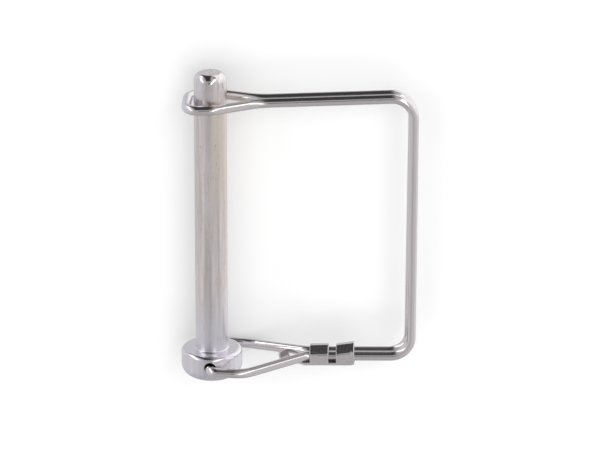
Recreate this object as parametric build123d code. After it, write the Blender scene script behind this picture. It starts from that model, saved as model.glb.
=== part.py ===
from build123d import *

import math
import os

# Square wire lock pin: a headed steel pin with a spring wire bail that snaps over its tip.
#
# The bail is one length of wire. Its two ends turn in a cross hole in the pin's head, its two
# strands run side by side round three sides of a square, and they part into a loop that closes
# round the shank below the tip. A stamped clip crimped on the lower arm holds the strands together.
#
# Millimetres. Each piece is made with the shank's axis along Z, the head's upper face at z = 0 and
# the bail towards +X; the wire's front strand is the one on the -Y side. The pin can't stand on its
# head, because the bail's weight puts the centre of mass outside the head, so the finished pieces
# are laid on their side for export: the shank then points along +Y and the front strand is on top.

# Pin, turned and cold headed from bar
SHANK_DIAMETER = 9.525
SHANK_LENGTH = 86.1
TIP_HEIGHT = 2.2
TIP_FLAT_DIAMETER = 6.2
TIP_BULGE = 0.42
SHOULDER_FILLET = 0.45
HEAD_DIAMETER = 18.1
HEAD_HEIGHT = 8.4
HEAD_TOP_ROUNDING = 1.2
HEAD_FOOT_ROUNDING = 3.6

# Cross hole through the head, in which both wire ends turn
WIRE_DIAMETER = 2.8
HOLE_DIAMETER = 3.5
HOLE_DEPTH_BELOW_SHOULDER = 3.15
END_CLEARANCE = 0.05
END_GRIP = 5.0

# Legs, from the cross hole to the clip
HEAD_TO_LEG_GAP = 0.85
ELBOW_RADIUS = 2.2
KNEE_X = 10.3
KNEE_INSET = 0.2
KNEE_DROP = 0.5
KNEE_RADIUS = 12.0
MEETING_X = 28.4
MEETING_RADIUS = 5.0

# The two strands where they run together
STRAND_GAP = 0.03
STRAND_STEP = 0.36
ARM_HEIGHT_OVER_HOLE = 1.57
LOWER_ARM_SLOPE = 1.0
BAIL_REACH = 58.9
LOWER_CORNER_SPREAD = 0.6
UPPER_CORNER_SPREAD = 0.3
CORNER_RADIUS = 6.2
UPPER_ARM_SLOPE = 2.9

# Loop round the shank
LOOP_HEIGHT = 77.05
LOOP_CLEARANCE = 0.58
LOOP_SLOPE = 2.1
LOOP_STEP = 0.6
THROAT_X = 14.2
THROAT_RADIUS = 16.0
LOOP_CORNER_RADIUS = 3.8

# Clip, stamped from sheet and crimped round both strands
SHEET = 0.7
CLIP_CLEARANCE = 0.04
CLIP_FLOOR_GAP = 0.06
BASE_START_X = 27.7
TONGUE_BEND_X = 29.2
TONGUE_DROP_ANGLE = 3.5
BASE_END_X = 42.5
BASE_CORNER_RADIUS = 1.2
FIRST_CRIMP_START_X = 29.2
FIRST_CRIMP_END_X = 34.8
SECOND_CRIMP_START_X = 37.0
SECOND_CRIMP_END_X = 42.4
FLARE_LENGTH = 1.2
CRIMP_FOOT_RADIUS = 0.2
CRIMP_BACK_RADIUS = 1.3
CRIMP_FRONT_RADIUS = 0.5
FRONT_EAR_SLOPE = 18.0
BACK_EAR_SLOPE = 6.0
CRIMP_EDGE_ROUNDING = 0.2
FIRST_CRIMP_START_RISE = 0.21
FIRST_CRIMP_END_RISE = 0.37
SECOND_CRIMP_START_RISE = 0.24
SECOND_CRIMP_END_RISE = 0.87
FLARE = 0.2
SEAM_GAP = 0.3
TAPER_END_X = 25.9
TONGUE_HALF_WIDTH = 1.9
LUG_X = 21.4
LUG_WIDTH = 3.65
LUG_HEIGHT = 2.6
LUG_BEND_RADIUS = 1.4
LUG_CORNER_RADIUS = 0.5
LUG_TURN = 38.0

wire_radius = WIRE_DIAMETER / 2
shank_radius = SHANK_DIAMETER / 2
head_radius = HEAD_DIAMETER / 2
strand_y = wire_radius + STRAND_GAP / 2
hole_z = -HOLE_DEPTH_BELOW_SHOULDER
end_offset = (HOLE_DIAMETER - WIRE_DIAMETER) / 2 - END_CLEARANCE
leg_y = head_radius + HEAD_TO_LEG_GAP + wire_radius
arm_z = hole_z + ARM_HEIGHT_OVER_HOLE
loop_radius = shank_radius + LOOP_CLEARANCE + wire_radius
clip_half_width = strand_y + wire_radius + CLIP_CLEARANCE + SHEET
clip_floor_z = arm_z - STRAND_STEP / 2 - wire_radius - CLIP_FLOOR_GAP
clip_roof_z = arm_z + STRAND_STEP / 2 + wire_radius + CLIP_CLEARANCE


def make_pin():
    """One turned piece: shank with a rounded tip, rounded head and the cross hole."""
    with BuildPart() as pin:
        with BuildSketch(Plane.XZ):
            with BuildLine():
                tip_edge = (shank_radius, SHANK_LENGTH - TIP_HEIGHT)
                flat_edge = (TIP_FLAT_DIAMETER / 2, SHANK_LENGTH)
                Polyline(
                    flat_edge,
                    (0, SHANK_LENGTH),
                    (0, -HEAD_HEIGHT),
                    (head_radius, -HEAD_HEIGHT),
                    (head_radius, 0),
                    (shank_radius, 0),
                    tip_edge,
                )
                SagittaArc(tip_edge, flat_edge, -TIP_BULGE)
            make_face()
            roundings = {
                (head_radius, -HEAD_HEIGHT): HEAD_FOOT_ROUNDING,
                (head_radius, 0): HEAD_TOP_ROUNDING,
                (shank_radius, 0): SHOULDER_FILLET,
            }
            for corner, radius in roundings.items():
                fillet(vertices().sort_by_distance(corner)[0], radius)
        revolve(axis=Axis.Z)
        with Locations(Location((0, 0, hole_z), (90, 0, 0))):
            Cylinder(HOLE_DIAMETER / 2, 2 * HEAD_DIAMETER, mode=Mode.SUBTRACT)
    return pin.part


def strand(side):
    """Corner points and bend radii of one strand, from its end in the head to the loop.

    side is -1 for the front strand and +1 for the back one. The front one lies a little lower.
    """
    step = side * STRAND_STEP / 2
    rise = math.tan(math.radians(UPPER_ARM_SLOPE))
    lower_corner_z = arm_z + (BAIL_REACH - MEETING_X) * math.tan(math.radians(LOWER_ARM_SLOPE))
    throat_z = LOOP_HEIGHT + THROAT_X * math.tan(math.radians(LOOP_SLOPE))
    corner_z = throat_z + (BAIL_REACH - THROAT_X) * rise
    end_z = hole_z + side * end_offset
    flank = flank_angle()
    shoulder_x = loop_radius * math.tan(flank / 2)
    loop_step = side * LOOP_STEP / 2
    far_z = LOOP_HEIGHT - loop_radius * math.tan(math.radians(LOOP_SLOPE))
    points = [
        (0, side * (head_radius - END_GRIP), end_z),
        (0, side * leg_y, end_z),
        (KNEE_X, side * (leg_y - KNEE_INSET), hole_z - KNEE_DROP + side * STRAND_STEP / 2),
        (MEETING_X, side * strand_y, arm_z + step),
        (BAIL_REACH - side * LOWER_CORNER_SPREAD / 2, side * strand_y, lower_corner_z + step),
        (BAIL_REACH - side * UPPER_CORNER_SPREAD / 2, side * strand_y, corner_z + step),
        (THROAT_X, side * strand_y, throat_z + step),
        (shoulder_x, side * loop_radius, LOOP_HEIGHT + loop_step),
        (-loop_radius, side * loop_radius, far_z + loop_step),
    ]
    radii = [
        ELBOW_RADIUS,
        KNEE_RADIUS,
        MEETING_RADIUS,
        CORNER_RADIUS,
        CORNER_RADIUS,
        THROAT_RADIUS,
        loop_radius,
        LOOP_CORNER_RADIUS,
    ]
    return points, radii


def flank_angle():
    """Angle of the loop's flanks: each runs from the throat and just touches the loop's circle."""
    reach = math.hypot(THROAT_X, strand_y)
    return math.asin(loop_radius / reach) - math.atan2(strand_y, THROAT_X)


def make_wire_bail():
    """One round spring wire swept along both strands."""
    front, front_radii = strand(-1)
    back, back_radii = strand(1)
    with BuildPart() as bail:
        with BuildLine() as path:
            FilletPolyline(*front, *reversed(back), radius=front_radii + list(reversed(back_radii)))
        start = path.wire() ^ 0
        with BuildSketch(Plane(origin=start.position, z_dir=start.z_axis.direction)):
            Circle(wire_radius)
        sweep()
    return bail.part


def crimp_section(x, inset, rise, flare):
    """Cross section of a crimp's tube at x, inset from its outer face by the given amount.

    Both ears slope down from a ridge over the seam, each to its own strand.
    """
    front_slope = math.radians(FRONT_EAR_SLOPE)
    back_slope = math.radians(BACK_EAR_SLOPE)
    half = clip_half_width - inset + flare
    bottom = clip_floor_z - SHEET + inset
    outer_ridge_z = clip_roof_z + SHEET + rise + flare
    front_plane_z = outer_ridge_z - inset / math.cos(front_slope)
    back_plane_z = outer_ridge_z - inset / math.cos(back_slope)
    slopes = math.tan(front_slope) + math.tan(back_slope)
    ridge_y = (back_plane_z - front_plane_z) / slopes
    ridge = (ridge_y, back_plane_z - ridge_y * math.tan(back_slope))
    front_eave = (-half, front_plane_z - half * math.tan(front_slope))
    back_eave = (half, back_plane_z - half * math.tan(back_slope))
    foot = CRIMP_FOOT_RADIUS + (SHEET - inset) / 2 + 2 * flare
    back_radius = CRIMP_BACK_RADIUS + SHEET - inset
    front_radius = CRIMP_FRONT_RADIUS + SHEET - inset
    with BuildSketch(Plane(origin=(x, 0, 0), x_dir=(0, 1, 0), z_dir=(1, 0, 0))) as section:
        with BuildLine():
            Polyline((-half, bottom), (half, bottom), back_eave, ridge, front_eave, close=True)
        make_face()
        fillet(vertices().sort_by(Axis.Y)[:2], foot)
        fillet(vertices().sort_by_distance(back_eave)[0], back_radius)
        fillet(vertices().sort_by_distance(front_eave)[0], front_radius)
    return section.sketch


def crimp_tube(stations):
    """Sheet wrapped round both strands: each station gives x, the ridge's rise and the flare."""
    sections = [[crimp_section(x, inset, rise, flare) for x, rise, flare in stations]
                for inset in (0, SHEET)]
    outer, inner = [loft(row, ruled=True) for row in sections]
    end_edges = outer.edges().group_by(Axis.X)
    outer = fillet(end_edges[0] + end_edges[-1], CRIMP_EDGE_ROUNDING)
    start, end = stations[0][0], stations[-1][0]
    seam = Pos((start + end) / 2, 0, clip_roof_z + SHEET) * Box(
        2 * (end - start), SEAM_GAP, 2 * SHEET, align=(Align.CENTER, Align.CENTER, Align.CENTER)
    )
    return outer - inner - seam


def make_tongue():
    """The strip's narrow end, bent down a little under the parting strands and up in a lug."""
    turn = math.radians(LUG_TURN)
    skew = TONGUE_HALF_WIDTH * math.tan(turn)
    lug_x = LUG_X - TONGUE_BEND_X + (SHEET / 2 + LUG_BEND_RADIUS) * math.cos(turn)
    taper_start = BASE_START_X - TONGUE_BEND_X
    taper_end = TAPER_END_X - TONGUE_BEND_X
    with BuildPart() as tongue:
        with BuildSketch():
            with BuildLine():
                Polyline(
                    (0, -clip_half_width),
                    (0, clip_half_width),
                    (taper_start, clip_half_width),
                    (taper_end, TONGUE_HALF_WIDTH),
                    (lug_x + skew, TONGUE_HALF_WIDTH),
                    (lug_x - skew, -TONGUE_HALF_WIDTH),
                    (taper_end, -TONGUE_HALF_WIDTH),
                    (taper_start, -clip_half_width),
                    close=True,
                )
            make_face()
        extrude(amount=-SHEET)
        across_bend = Plane(
            origin=(lug_x, 0, 0),
            x_dir=(math.cos(turn), -math.sin(turn), 0),
            z_dir=(-math.sin(turn), -math.cos(turn), 0),
        )
        with BuildSketch(across_bend):
            with BuildLine():
                CenterArc((0, LUG_BEND_RADIUS), LUG_BEND_RADIUS, 180, 90)
                CenterArc((0, LUG_BEND_RADIUS), LUG_BEND_RADIUS + SHEET, 180, 90)
                Line((0, -SHEET), (0, 0))
                Polyline(
                    (-LUG_BEND_RADIUS, LUG_BEND_RADIUS),
                    (-LUG_BEND_RADIUS, LUG_HEIGHT),
                    (-LUG_BEND_RADIUS - SHEET, LUG_HEIGHT),
                    (-LUG_BEND_RADIUS - SHEET, LUG_BEND_RADIUS),
                )
            make_face()
        lug = extrude(amount=LUG_WIDTH / 2, both=True)
        lug_top = lug.edges().group_by(Axis.Z)[-1]
        fillet(lug_top.sort_by(SortBy.LENGTH)[:2], LUG_CORNER_RADIUS)
    return Pos(TONGUE_BEND_X, 0, clip_floor_z) * Rot(0, -TONGUE_DROP_ANGLE, 0) * tongue.part


def make_crimp_clip():
    """One stamping: a flat strip with two pairs of ears crimped round the strands, and a tongue."""
    with BuildSketch(Plane.XY.offset(clip_floor_z - SHEET)) as outline:
        with Locations(((TONGUE_BEND_X + BASE_END_X) / 2, 0)):
            Rectangle(BASE_END_X - TONGUE_BEND_X, 2 * clip_half_width)
        fillet(outline.vertices().sort_by(Axis.X)[-2:], BASE_CORNER_RADIUS)
    strip = extrude(outline.sketch, amount=SHEET)
    first = crimp_tube([
        (FIRST_CRIMP_START_X, FIRST_CRIMP_START_RISE, 0),
        (FIRST_CRIMP_END_X, FIRST_CRIMP_END_RISE, 0),
    ])
    second = crimp_tube([
        (SECOND_CRIMP_START_X, SECOND_CRIMP_START_RISE, 0),
        (SECOND_CRIMP_END_X - FLARE_LENGTH, SECOND_CRIMP_END_RISE, 0),
        (SECOND_CRIMP_END_X, SECOND_CRIMP_END_RISE, FLARE),
    ])
    arm_start = Pos(MEETING_X, 0, arm_z)
    along_arm = arm_start * Rot(0, -LOWER_ARM_SLOPE, 0) * arm_start.inverse()
    return along_arm * (strip + first + second + make_tongue())


def export_parts():
    """Lay each finished piece on its side and write it."""
    os.makedirs("parts", exist_ok=True)
    pieces = {
        "pin": make_pin(),
        "wire_bail": make_wire_bail(),
        "crimp_clip": make_crimp_clip(),
    }
    for node, piece in pieces.items():
        export_step(Rot(-90, 0, 0) * piece, f"parts/{node}.step")


export_parts()
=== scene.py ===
import math

import bpy
from mathutils import Matrix, Vector


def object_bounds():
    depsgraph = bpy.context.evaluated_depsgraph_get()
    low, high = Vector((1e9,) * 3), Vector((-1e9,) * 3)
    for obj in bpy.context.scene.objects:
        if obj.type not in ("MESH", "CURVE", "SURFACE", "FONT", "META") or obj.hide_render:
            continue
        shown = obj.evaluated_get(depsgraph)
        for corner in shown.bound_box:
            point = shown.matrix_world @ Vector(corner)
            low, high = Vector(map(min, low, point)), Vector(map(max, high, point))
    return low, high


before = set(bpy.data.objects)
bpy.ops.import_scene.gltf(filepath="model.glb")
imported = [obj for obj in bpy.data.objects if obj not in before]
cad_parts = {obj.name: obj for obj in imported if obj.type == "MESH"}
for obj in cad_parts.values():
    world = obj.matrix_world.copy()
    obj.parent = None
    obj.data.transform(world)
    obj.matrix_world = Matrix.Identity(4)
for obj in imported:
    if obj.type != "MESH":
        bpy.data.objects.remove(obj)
cad_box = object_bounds()


# Pin. One piece of steel bar, headed at one end and turned to a rounded tip, with a cross hole
# through the head. It is bright zinc plated: satin, with drawing lines along the shank and a
# passivation tint that runs from straw to lavender.

class Shade:
    """A socket of a node tree. An operator on it adds the Math node for that operation."""

    # A Mix node's sockets for colours, by number because their names come more than once
    FACTOR, BELOW, ABOVE, MIXED = 0, 6, 7, 2

    def __init__(self, socket):
        self.socket = socket

    @staticmethod
    def node(tree, kind, settings, sockets, output=0):
        """Adds any other node: its settings first, then a value or a link for each socket."""
        made = tree.nodes.new(kind)
        for name, value in settings.items():
            setattr(made, name, value)
        for name, value in sockets.items():
            if isinstance(value, Shade):
                tree.links.new(value.socket, made.inputs[name])
            else:
                made.inputs[name].default_value = value
        return Shade(made.outputs[output])

    def math(self, operation, *terms):
        """Adds the Math node for an operation on these terms, which are sockets or numbers."""
        settings = {"operation": operation}
        return Shade.node(self.socket.id_data, "ShaderNodeMath", settings, dict(enumerate(terms)))

    def __add__(self, other):
        return self.math("ADD", self, other)

    def __radd__(self, other):
        return self.math("ADD", other, self)

    def __sub__(self, other):
        return self.math("SUBTRACT", self, other)

    def __rsub__(self, other):
        return self.math("SUBTRACT", other, self)

    def __mul__(self, other):
        return self.math("MULTIPLY", self, other)

    def __rmul__(self, other):
        return self.math("MULTIPLY", other, self)

    def __abs__(self):
        return self.math("ABSOLUTE", self)

    def or_more(self, other):
        """The larger of this and another one."""
        return self.math("MAXIMUM", self, other)

    def step(self, low, high):
        """0 below low, 1 above high and smooth in between."""
        settings = {"interpolation_type": "SMOOTHSTEP"}
        sockets = {"Value": self, "From Min": low, "From Max": high}
        return Shade.node(self.socket.id_data, "ShaderNodeMapRange", settings, sockets)

    def part(self, axis):
        """This vector's component along X, Y or Z."""
        return Shade.node(self.socket.id_data, "ShaderNodeSeparateXYZ", {}, {"Vector": self}, axis)

    def stretched(self, scale):
        """This vector with each component scaled."""
        settings, sockets = {"operation": "MULTIPLY"}, {0: self, 1: scale}
        return Shade.node(self.socket.id_data, "ShaderNodeVectorMath", settings, sockets)

    def noise(self, detail=2.0, roughness=0.5):
        """Soft noise, 0 to 1, whose grains are about 1 unit of this vector."""
        sockets = {"Vector": self, "Scale": 1.0, "Detail": detail, "Roughness": roughness}
        return Shade.node(self.socket.id_data, "ShaderNodeTexNoise", {}, sockets)

    def over(self, below, colour):
        """The colour given laid over another one where this is 1."""
        settings = {"data_type": "RGBA"}
        sockets = {self.FACTOR: self, self.BELOW: below, self.ABOVE: (*colour, 1)}
        return Shade.node(self.socket.id_data, "ShaderNodeMix", settings, sockets, self.MIXED)

    def tinted(self, low, high):
        """The colour low where this is 0 and high where it is 1."""
        return self.over((*low, 1), high)


class Plating:
    """A metal finish whose pattern is laid out in millimetres on the piece itself."""

    MILLIMETRES = (1000, 1000, 1000)

    def __init__(self, name):
        self.material = bpy.data.materials.new(name)
        self.material.use_nodes = True
        self.tree = self.material.node_tree
        self.surface = self.tree.nodes["Principled BSDF"]
        self.surface.inputs["Metallic"].default_value = 1.0
        metres = Shade.node(self.tree, "ShaderNodeTexCoord", {}, {}, "Object")
        self.place = metres.stretched(self.MILLIMETRES)
        self.x, self.y = self.place.part("X"), self.place.part("Y")

    def pattern(self, grains, detail=2.0, roughness=0.5):
        """Noise with this many grains to a millimetre along x, y and z."""
        return self.place.stretched(grains).noise(detail, roughness)

    def finish(self, colour, roughness, relief, depth):
        """Colour, roughness, and a relief of the given depth in millimetres."""
        height = {"Height": relief, "Distance": depth / 1000, "Strength": 1.0}
        bump = Shade.node(self.tree, "ShaderNodeBump", {}, height)
        for name, value in {"Base Color": colour, "Roughness": roughness, "Normal": bump}.items():
            self.tree.links.new(value.socket, self.surface.inputs[name])

    def put_on(self, node):
        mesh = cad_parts[node].data
        mesh.materials.clear()
        mesh.materials.append(self.material)


SHANK_START_Y = (-0.2, 0.4)
TIP_START_Y = 82.4
SHANK_END_Y = (TIP_START_Y - 1, TIP_START_Y)
TURNED_TIP_Y = (TIP_START_Y - 0.5, TIP_START_Y)
HEAD_LAVENDER_Y = (4, 22)
TIP_LAVENDER_Y = (72, 80)
TIP_LAVENDER_X = (-3.5, -1.0)
STRAW_START_Y = (36, 58)
STRAW_END_Y = (76, 82)
STRAW_X = (0.6, 3.6)
STRAW_WANDER = 3
PIN_RELIEF = 0.010

STREAK_DARK = (0.62, 0.56, 0.56)
STREAK_LIGHT = (0.90, 0.86, 0.86)
SMEAR_PINK = (0.70, 0.60, 0.57)
LAVENDER = (0.77, 0.76, 0.84)
STRAW = (0.77, 0.70, 0.60)
SCRATCH_BROWN = (0.36, 0.31, 0.29)

PIN_ROUGHNESS = 0.13
SHANK_ROUGHENING = 0.07
STREAK_ROUGHENING = 0.20
GRAIN_ROUGHENING = 0.08
TIP_POLISH = 0.07

pin = Plating("zinc_plated_pin")
streaks = pin.pattern((1.1, 0.03, 1.1), detail=4.0, roughness=0.6)
smears = pin.pattern((0.8, 0.12, 0.8), detail=5.0, roughness=0.7)
drawn_lines = pin.pattern((8.0, 0.08, 8.0))
grain = pin.pattern((3.0, 3.0, 3.0), detail=3.0, roughness=0.6)
clouds = pin.pattern((0.25, 0.07, 0.25))
scratches = pin.pattern((2.4, 0.35, 2.4), detail=4.0, roughness=0.7).step(0.62, 0.67)
on_shank = pin.y.step(*SHANK_START_Y) * (1 - pin.y.step(*SHANK_END_Y))
on_tip = pin.y.step(*TURNED_TIP_Y)
lavender_by_head = 1 - pin.y.step(*HEAD_LAVENDER_Y)
lavender_by_tip = pin.y.step(*TIP_LAVENDER_Y) * (1 - pin.x.step(*TIP_LAVENDER_X))
lavender_patch = lavender_by_head.or_more(lavender_by_tip)
straw_side = (pin.x + clouds * STRAW_WANDER).step(*STRAW_X)
straw_patch = straw_side * pin.y.step(*STRAW_START_Y) * (1 - pin.y.step(*STRAW_END_Y))
pin_colour = (streaks * 2.4 - 0.7).tinted(STREAK_DARK, STREAK_LIGHT)
pin_colour = (smears.step(0.48, 0.66) * on_shank * 0.7).over(pin_colour, SMEAR_PINK)
pin_colour = (lavender_patch * 0.7).over(pin_colour, LAVENDER)
pin_colour = (straw_patch * 0.75).over(pin_colour, STRAW)
pin_colour = (scratches * on_shank * 0.6).over(pin_colour, SCRATCH_BROWN)
shank_roughening = on_shank * (SHANK_ROUGHENING + streaks * STREAK_ROUGHENING)
pin_roughness = PIN_ROUGHNESS + shank_roughening + grain * GRAIN_ROUGHENING - on_tip * TIP_POLISH
pin_relief = (drawn_lines + smears * 1.2) * on_shank + grain * (0.35 - on_tip * 0.20)
pin.finish(pin_colour, pin_roughness, pin_relief, PIN_RELIEF)
pin.put_on("pin")


# Wire bail. One length of hard drawn spring wire, bent cold and plated bright, its two ends sprung
# into the pin's cross hole. It is smoother than the pin, with faint die lines along it, and
# lavender is painted on the end of its loop as a painted reflection of the pin's tinted shank.

WIRE_SIDE_X = (53.0, 57.0)
LOOP_END_X = (-8.0, -5.0)
LOOP_END_Y = (68, 72)
WIRE_RELIEF = 0.006

DULL_ZINC = (0.66, 0.62, 0.63)
BRIGHT_ZINC = (0.84, 0.80, 0.81)

WIRE_ROUGHNESS = 0.07
DIE_LINE_ROUGHENING = 0.08
WIRE_GRAIN_ROUGHENING = 0.06
LOOP_END_ROUGHENING = 0.18

wire = Plating("zinc_plated_wire")
on_side = wire.x.step(*WIRE_SIDE_X)
lines_along_arms = wire.pattern((0.06, 3.5, 3.5), detail=3.0)
lines_along_side = wire.pattern((3.5, 0.06, 3.5), detail=3.0)
die_lines = lines_along_arms * (1 - on_side) + lines_along_side * on_side
wire_grain = wire.pattern((2.2, 2.2, 2.2), detail=3.0)
# Painted reflection: lavender laid on the end of the loop, where the wire mirrors the pin's tinted
# shank. The same mask also roughens it there.
loop_end_painted_reflection = (1 - wire.x.step(*LOOP_END_X)) * wire.y.step(*LOOP_END_Y)
wire_colour = loop_end_painted_reflection.over(die_lines.tinted(DULL_ZINC, BRIGHT_ZINC), LAVENDER)
wire_roughness = WIRE_ROUGHNESS + die_lines * DIE_LINE_ROUGHENING
wire_roughness = wire_roughness + wire_grain * WIRE_GRAIN_ROUGHENING
wire_roughness = wire_roughness + loop_end_painted_reflection * LOOP_END_ROUGHENING
wire.finish(wire_colour, wire_roughness, die_lines * 0.7 + wire_grain * 0.4, WIRE_RELIEF)
wire.put_on("wire_bail")


# Clip. One stamping of bright plated sheet. Its two pairs of ears are crimped round both strands
# of the wire, and its narrow end is bent up into a lug that is duller than the rest.

LUG_END_X = (28.4, 29.0)
CLIP_RELIEF = 0.03

CLIP_ROUGHNESS = 0.10
PRESS_MARK_ROUGHENING = 0.10
LUG_ROUGHENING = 0.35

clip = Plating("zinc_plated_clip")
press_marks = clip.pattern((0.9, 0.9, 0.9), detail=3.0, roughness=0.6)
clip_grain = clip.pattern((6.0, 6.0, 6.0))
on_lug = 1 - clip.x.step(*LUG_END_X)
clip_colour = press_marks.tinted(DULL_ZINC, BRIGHT_ZINC)
clip_roughness = CLIP_ROUGHNESS + press_marks * PRESS_MARK_ROUGHENING + on_lug * LUG_ROUGHENING
clip.finish(clip_colour, clip_roughness, press_marks + clip_grain * 0.1, CLIP_RELIEF)
clip.put_on("crimp_clip")


# Floor. A plain white sheet under the pin, which lies on its side. The metal reflects the tent
# all round it, so the sheet isn't seen in it.

FLOOR_HALF_WIDTH = 3.0
SHEET_ROUGHNESS = 0.9
SHEET_UNSEEN = (0.80, 0.80, 0.80)
SHEET_SEEN = (0.99, 0.99, 0.99)

floor_z = cad_box[0].z
corners = ((-1, -1), (1, -1), (1, 1), (-1, 1))
floor_points = [(x * FLOOR_HALF_WIDTH, y * FLOOR_HALF_WIDTH, floor_z) for x, y in corners]
floor_mesh = bpy.data.meshes.new("floor")
floor_mesh.from_pydata(floor_points, [], [(0, 1, 2, 3)])
floor = bpy.data.objects.new("floor", floor_mesh)
bpy.context.scene.collection.objects.link(floor)
floor.visible_glossy = False
white_sheet = bpy.data.materials.new("white_sheet")
white_sheet.use_nodes = True
sheet_surface = white_sheet.node_tree.nodes["Principled BSDF"]
sheet_surface.inputs["Roughness"].default_value = SHEET_ROUGHNESS
sheet_surface.inputs["Specular IOR Level"].default_value = 0.0
seen = Shade.node(white_sheet.node_tree, "ShaderNodeLightPath", {}, {}, "Is Camera Ray")
sheet_colour = seen.tinted(SHEET_UNSEEN, SHEET_SEEN)
white_sheet.node_tree.links.new(sheet_colour.socket, sheet_surface.inputs["Base Color"])
floor_mesh.materials.append(white_sheet)


# Studio. A pale tent with a bright strip on the left and one on the right, a dark opening over the
# tip between them, a dark gap beside the right strip, and the dark camera in front. A wide lamp
# overhead lights the sheet. Directions are in the lying frame: +Y past the tip, +Z up.

TENT_LEVEL = 0.50
STRIP_LEVEL = 2.0
RIGHT_WALL_LIFT = 0.45
RIGHT_SIDE_LIFT = 0.14
LEFT_WALL_LIFT = 0.20
BACKDROP_LIFT = 0.16
OPENING_DARKNESS = 0.90
GAP_DARKNESS = 0.65
CAMERA_DARKNESS = 0.60
LAMP_WIDTH = 2.4
LAMP_HEIGHT = 1.6
LAMP_WATTS = 18.0

world = bpy.data.worlds.new("tent")
bpy.context.scene.world = world
world.use_nodes = True
tent = world.node_tree
direction = Shade.node(tent, "ShaderNodeTexCoord", {}, {}, "Generated")


def facing(towards):
    """How squarely the tent is looked at towards a direction: 1 straight at it, 0 across it."""
    sockets = {0: direction, 1: tuple(Vector(towards).normalized())}
    settings = {"operation": "DOT_PRODUCT"}
    return Shade.node(tent, "ShaderNodeVectorMath", settings, sockets, "Value")


def panel(first, last, half_width, fade):
    """1 within a strip of the tent between two directions, 0 outside it."""
    first, last = Vector(first).normalized(), Vector(last).normalized()
    off_line = abs(facing(first.cross(last)))
    reach = first.dot((first + last).normalized())
    along = facing(first + last).step(reach - fade, reach + fade)
    return along * (1 - off_line.step(half_width - fade, half_width + fade))


left_strip = panel((-0.72, 0.14, 0.68), (-0.50, 0.77, -0.41), 0.12, 0.03)
right_strip = panel((0.12, -0.09, 0.99), (0.52, 0.75, 0.40), 0.11, 0.03)
opening = panel((-0.12, 0.57, 0.81), (-0.15, 0.69, -0.71), 0.27, 0.10)
gap = panel((0.15, 0.97, -0.21), (0.50, 0.83, 0.24), 0.10, 0.04)
camera_side = facing((-0.01, 0.10, 0.99)).step(0.970, 0.993)
upper_half = facing((0, 1, 0)).step(-0.35, 0.25)
right_wall = facing((0.85, 0.30, -0.43)).step(0.42, 0.75) * (0.4 + upper_half * 0.6)
right_side = facing((1, 0, 0.2)).step(0.10, 0.60)
left_wall = facing((-1, 0, 0)).step(0.30, 0.90)
backdrop = facing((0, 0.3, -1)).step(0.2, 0.8)
level = TENT_LEVEL + right_wall * RIGHT_WALL_LIFT + right_side * RIGHT_SIDE_LIFT
level = level + left_wall * LEFT_WALL_LIFT + backdrop * BACKDROP_LIFT
level = level + (left_strip + right_strip) * (STRIP_LEVEL - TENT_LEVEL)
level = level * (1 - opening * OPENING_DARKNESS) * (1 - gap * GAP_DARKNESS)
level = level * (1 - camera_side * CAMERA_DARKNESS)
camera_ray = Shade.node(tent, "ShaderNodeLightPath", {}, {}, "Is Camera Ray")
level = level * (1 - camera_ray) + camera_ray
tent.links.new(level.socket, tent.nodes["Background"].inputs["Strength"])
tent.nodes["Background"].inputs["Color"].default_value = (1, 1, 1, 1)

lamp_data = bpy.data.lights.new("overhead_lamp", "AREA")
lamp_data.size = LAMP_WIDTH
lamp_data.energy = LAMP_WATTS
lamp = bpy.data.objects.new("overhead_lamp", lamp_data)
bpy.context.scene.collection.objects.link(lamp)
lamp.location = (0, 0, LAMP_HEIGHT)
lamp.visible_glossy = False


# Camera. The photograph faces the flat of the bail from about a metre away, 21 degrees round
# towards the tip, so here the camera looks steeply down on the lying pin.

CAMERA_AZIMUTH = math.radians(2.2)
CAMERA_ELEVATION = math.radians(21.3)
CAMERA_ROLL = math.radians(0.207)
CAMERA_TARGET = (0.026108, 0.039487, 0.0)
CAMERA_DISTANCE = 0.98185
CAMERA_LENS = 201.01
SENSOR_WIDTH = 36.0
NEAREST_SEEN = 0.01
FURTHEST_SEEN = 20.0

camera_data = bpy.data.cameras.new("camera")
camera = bpy.data.objects.new("camera", camera_data)
bpy.context.scene.collection.objects.link(camera)
camera_data.sensor_width = SENSOR_WIDTH
camera_data.lens = CAMERA_LENS
camera_data.clip_start = NEAREST_SEEN
camera_data.clip_end = FURTHEST_SEEN
bpy.context.scene.camera = camera
turn = Matrix.Rotation(CAMERA_AZIMUTH, 4, "Y")
tilt = Matrix.Rotation(-CAMERA_ELEVATION, 4, "X")
roll = Matrix.Rotation(CAMERA_ROLL, 4, "Z")
back_off = Matrix.Translation((0, 0, CAMERA_DISTANCE))
camera.matrix_world = Matrix.Translation(CAMERA_TARGET) @ turn @ tilt @ back_off @ roll

bpy.context.scene.view_settings.view_transform = "Standard"
